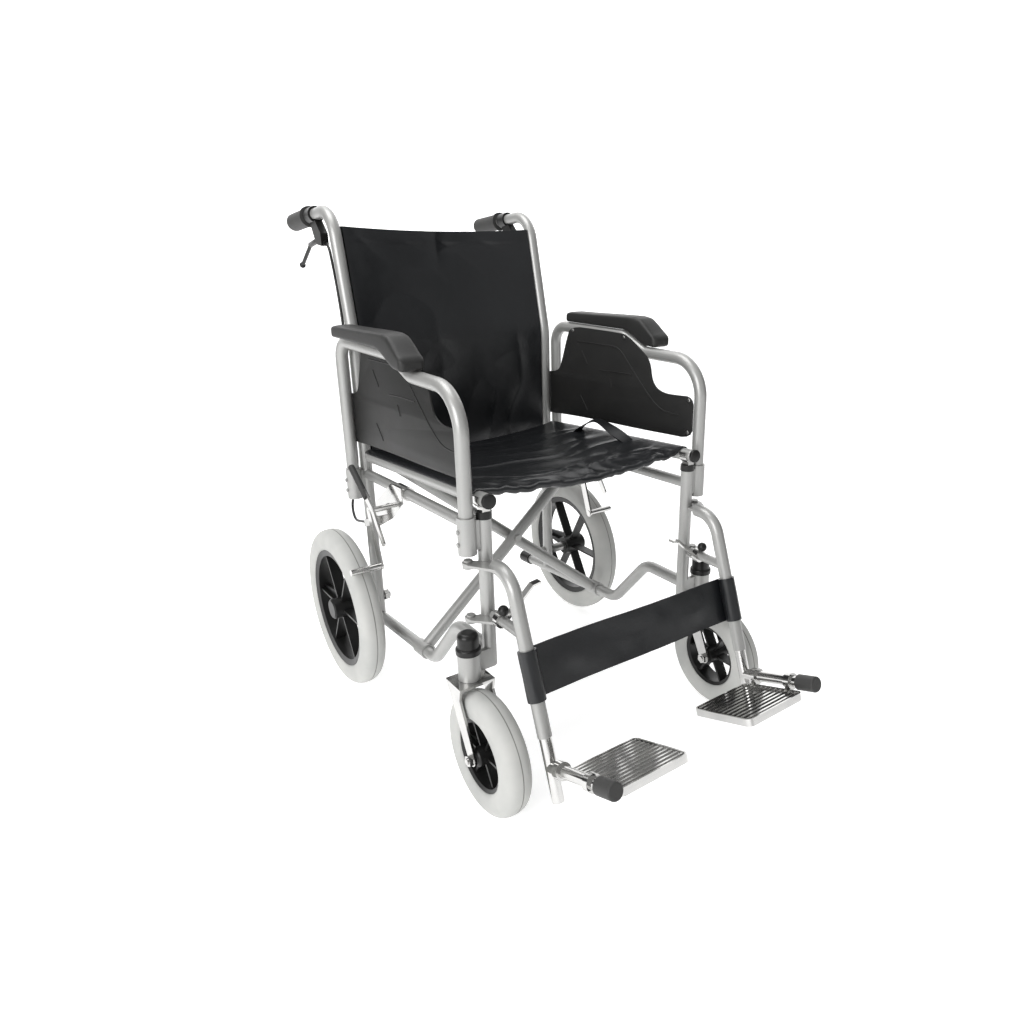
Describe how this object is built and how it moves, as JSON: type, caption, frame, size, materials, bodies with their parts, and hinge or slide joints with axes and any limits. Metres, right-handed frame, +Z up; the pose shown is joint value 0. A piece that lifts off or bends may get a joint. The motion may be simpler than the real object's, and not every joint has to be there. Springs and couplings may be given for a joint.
{
  "type": "transport wheelchair",
  "caption": "Folding attendant-propelled wheelchair with push handles, lift-off armrests, swing-away leg rests and small spoked wheels.",
  "frame": {"origin": "floor level under the middle of the chair's length and width, chair open", "axes": "+Z up, the chair faces -Y, +X is the occupant's left"},
  "size_m": [0.61, 1.0371, 0.9049],
  "materials": {
    "silver_paint": "smooth silver paint",
    "chrome": "polished",
    "zinc_steel": "bright zinc plate",
    "grey_tyre": "light grey, lightly ribbed",
    "black_wheel": "moulded, satin",
    "black_plastic": "moulded, fine grain",
    "black_panel": "moulded, leather grain",
    "black_pad": "soft skinned foam",
    "black_grip": "ribbed, matt",
    "black_vinyl": "coated cloth, soft sheen",
    "chrome_plate": "cast, ribbed"
  },
  "bodies": {
    "right_frame": {"back_cane_r": "silver_paint", "front_post_r": "silver_paint", "side_rails_r": "silver_paint", "armrest_sockets_r": "silver_paint", "frame_plugs_r": "black_plastic", "push_grip_r": "black_grip", "lever_clamp_r": "black_plastic", "brake_cable_r": "black_plastic", "rear_axle_r": "zinc_steel", "chrome_fittings_r": "chrome", "backrest_sling": "black_vinyl"},
    "left_frame": {"back_cane_l": "silver_paint", "front_post_l": "silver_paint", "side_rails_l": "silver_paint", "armrest_sockets_l": "silver_paint", "frame_plugs_l": "black_plastic", "push_grip_l": "black_grip", "lever_clamp_l": "black_plastic", "brake_cable_l": "black_plastic", "rear_axle_l": "zinc_steel", "chrome_fittings_l": "chrome"},
    "brace_a": {"cross_brace_r": "silver_paint", "brace_pivot": "zinc_steel", "seat_sling": "black_vinyl"},
    "brace_b": {"cross_brace_l": "silver_paint"},
    "rear_wheel_r": {"rear_tyre_r": "grey_tyre", "rear_hub_r": "black_wheel"},
    "caster_swivel_r": {"caster_fork_r": "chrome"},
    "caster_wheel_r": {"caster_tyre_r": "grey_tyre", "caster_hub_r": "black_wheel"},
    "armrest_r": {"armrest_frame_r": "silver_paint", "armrest_pad_r": "black_pad", "side_panel_r": "black_panel"},
    "hanger_r": {"hanger_r": "silver_paint", "calf_strap": "black_vinyl"},
    "latch_r": {"hanger_latch_r": "chrome"},
    "footrest_r": {"footrest_stem_r": "chrome", "footplate_knob_r": "black_grip"},
    "footplate_r": {"footplate_r": "chrome_plate"},
    "lock_lever_r": {"lock_lever_r": "chrome", "lock_grip_r": "black_grip"},
    "lock_shoe_r": {"lock_shoe_r": "chrome"},
    "hand_lever_r": {"brake_lever_r": "zinc_steel"},
    "rear_wheel_l": {"rear_tyre_l": "grey_tyre", "rear_hub_l": "black_wheel"},
    "caster_swivel_l": {"caster_fork_l": "chrome"},
    "caster_wheel_l": {"caster_tyre_l": "grey_tyre", "caster_hub_l": "black_wheel"},
    "armrest_l": {"armrest_frame_l": "silver_paint", "armrest_pad_l": "black_pad", "side_panel_l": "black_panel"},
    "hanger_l": {"hanger_l": "silver_paint"},
    "latch_l": {"hanger_latch_l": "chrome"},
    "footrest_l": {"footrest_stem_l": "chrome", "footplate_knob_l": "black_grip"},
    "footplate_l": {"footplate_l": "chrome_plate"},
    "lock_lever_l": {"lock_lever_l": "chrome", "lock_grip_l": "black_grip"},
    "lock_shoe_l": {"lock_shoe_l": "chrome"},
    "hand_lever_l": {"brake_lever_l": "zinc_steel"}
  },
  "joints": [
    {"name": "fold", "type": "hinge", "parent": "right_frame", "child": "brace_a", "pos_m": [-0.208, 0.06173, 0.12807], "axis": [0, -0.9976, 0.0698], "range_deg": [0, 31], "deforming": ["seat_sling", "backrest_sling", "calf_strap"]},
    {"name": "cross_pivot", "type": "hinge", "parent": "brace_a", "child": "brace_b", "pos_m": [0, 0.07364, 0.29834], "axis": [0, -0.9976, 0.0698], "range_deg": [-62, 0]},
    {"name": "left_sleeve", "type": "hinge", "parent": "brace_b", "child": "left_frame", "pos_m": [0.208, 0.06173, 0.12807], "axis": [0, -0.9976, 0.0698], "range_deg": [0, 31]},
    {"name": "rear_wheel_r", "type": "hinge", "parent": "right_frame", "child": "rear_wheel_r", "pos_m": [-0.277, 0.25564, 0.1565], "axis": [1, 0, 0], "continuous": true},
    {"name": "caster_swivel_r", "type": "hinge", "parent": "right_frame", "child": "caster_swivel_r", "pos_m": [-0.2485, -0.20436, 0.2], "axis": [0, 0, 1], "continuous": true},
    {"name": "caster_wheel_r", "type": "hinge", "parent": "caster_swivel_r", "child": "caster_wheel_r", "pos_m": [-0.2485, -0.25436, 0.1], "axis": [1, 0, 0], "continuous": true},
    {"name": "armrest_lift_r", "type": "slide", "parent": "right_frame", "child": "armrest_r", "axis": [0, 0, 1], "range_m": [0, 0.075]},
    {"name": "hanger_swing_r", "type": "hinge", "parent": "right_frame", "child": "hanger_r", "pos_m": [-0.235, -0.19236, 0.345], "axis": [0, 0, -1], "range_deg": [0, 90], "deforming": ["calf_strap"]},
    {"name": "latch_r", "type": "hinge", "parent": "hanger_r", "child": "latch_r", "pos_m": [-0.208, -0.23636, 0.308], "axis": [0, -1, 0], "range_deg": [0, 18], "stiffness_Nm_per_rad": 0.5},
    {"name": "footrest_slide_r", "type": "slide", "parent": "hanger_r", "child": "footrest_r", "axis": [0, -0.3338, -0.9426], "range_m": [-0.02, 0.045]},
    {"name": "footplate_r", "type": "hinge", "parent": "footrest_r", "child": "footplate_r", "pos_m": [-0.208, -0.36498, 0.122], "axis": [0, -0.9426, 0.3338], "range_deg": [0, 90]},
    {"name": "lock_lever_r", "type": "hinge", "parent": "right_frame", "child": "lock_lever_r", "pos_m": [-0.25, 0.13364, 0.388], "axis": [1, 0, 0], "range_deg": [0, 45]},
    {"name": "lock_shoe_r", "type": "hinge", "parent": "right_frame", "child": "lock_shoe_r", "pos_m": [-0.242, 0.17164, 0.372], "axis": [1, 0, 0], "range_deg": [0, 2.6]},
    {"name": "hand_lever_r", "type": "hinge", "parent": "right_frame", "child": "hand_lever_r", "pos_m": [-0.208, 0.37912, 0.84617], "axis": [1, 0, 0], "range_deg": [0, 18], "stiffness_Nm_per_rad": 1},
    {"name": "rear_wheel_l", "type": "hinge", "parent": "left_frame", "child": "rear_wheel_l", "pos_m": [0.277, 0.25564, 0.1565], "axis": [1, 0, 0], "continuous": true},
    {"name": "caster_swivel_l", "type": "hinge", "parent": "left_frame", "child": "caster_swivel_l", "pos_m": [0.2485, -0.20436, 0.2], "axis": [0, 0, 1], "continuous": true},
    {"name": "caster_wheel_l", "type": "hinge", "parent": "caster_swivel_l", "child": "caster_wheel_l", "pos_m": [0.2485, -0.25436, 0.1], "axis": [1, 0, 0], "continuous": true},
    {"name": "armrest_lift_l", "type": "slide", "parent": "left_frame", "child": "armrest_l", "axis": [0, 0, 1], "range_m": [0, 0.075]},
    {"name": "hanger_swing_l", "type": "hinge", "parent": "left_frame", "child": "hanger_l", "pos_m": [0.235, -0.19236, 0.345], "axis": [0, 0, 1], "range_deg": [0, 90], "deforming": ["calf_strap"]},
    {"name": "latch_l", "type": "hinge", "parent": "hanger_l", "child": "latch_l", "pos_m": [0.208, -0.23636, 0.308], "axis": [0, 1, 0], "range_deg": [0, 18], "stiffness_Nm_per_rad": 0.5},
    {"name": "footrest_slide_l", "type": "slide", "parent": "hanger_l", "child": "footrest_l", "axis": [0, -0.3338, -0.9426], "range_m": [-0.02, 0.045]},
    {"name": "footplate_l", "type": "hinge", "parent": "footrest_l", "child": "footplate_l", "pos_m": [0.208, -0.36498, 0.122], "axis": [0, 0.9426, -0.3338], "range_deg": [0, 90]},
    {"name": "lock_lever_l", "type": "hinge", "parent": "left_frame", "child": "lock_lever_l", "pos_m": [0.25, 0.13364, 0.388], "axis": [1, 0, 0], "range_deg": [0, 45]},
    {"name": "lock_shoe_l", "type": "hinge", "parent": "left_frame", "child": "lock_shoe_l", "pos_m": [0.242, 0.17164, 0.372], "axis": [1, 0, 0], "range_deg": [0, 2.6]},
    {"name": "hand_lever_l", "type": "hinge", "parent": "left_frame", "child": "hand_lever_l", "pos_m": [0.208, 0.37912, 0.84617], "axis": [1, 0, 0], "range_deg": [0, 18], "stiffness_Nm_per_rad": 1}
  ],
  "couplings": [
    {"joint": "cross_pivot", "follows": "fold", "ratio": -2},
    {"joint": "left_sleeve", "follows": "fold", "ratio": 1},
    {"joint": "footplate_r", "follows": "fold", "ratio": 2.9},
    {"joint": "lock_shoe_r", "follows": "lock_lever_r", "ratio": 0.0577},
    {"joint": "footplate_l", "follows": "fold", "ratio": 2.9},
    {"joint": "lock_shoe_l", "follows": "lock_lever_l", "ratio": 0.0577}
  ]
}
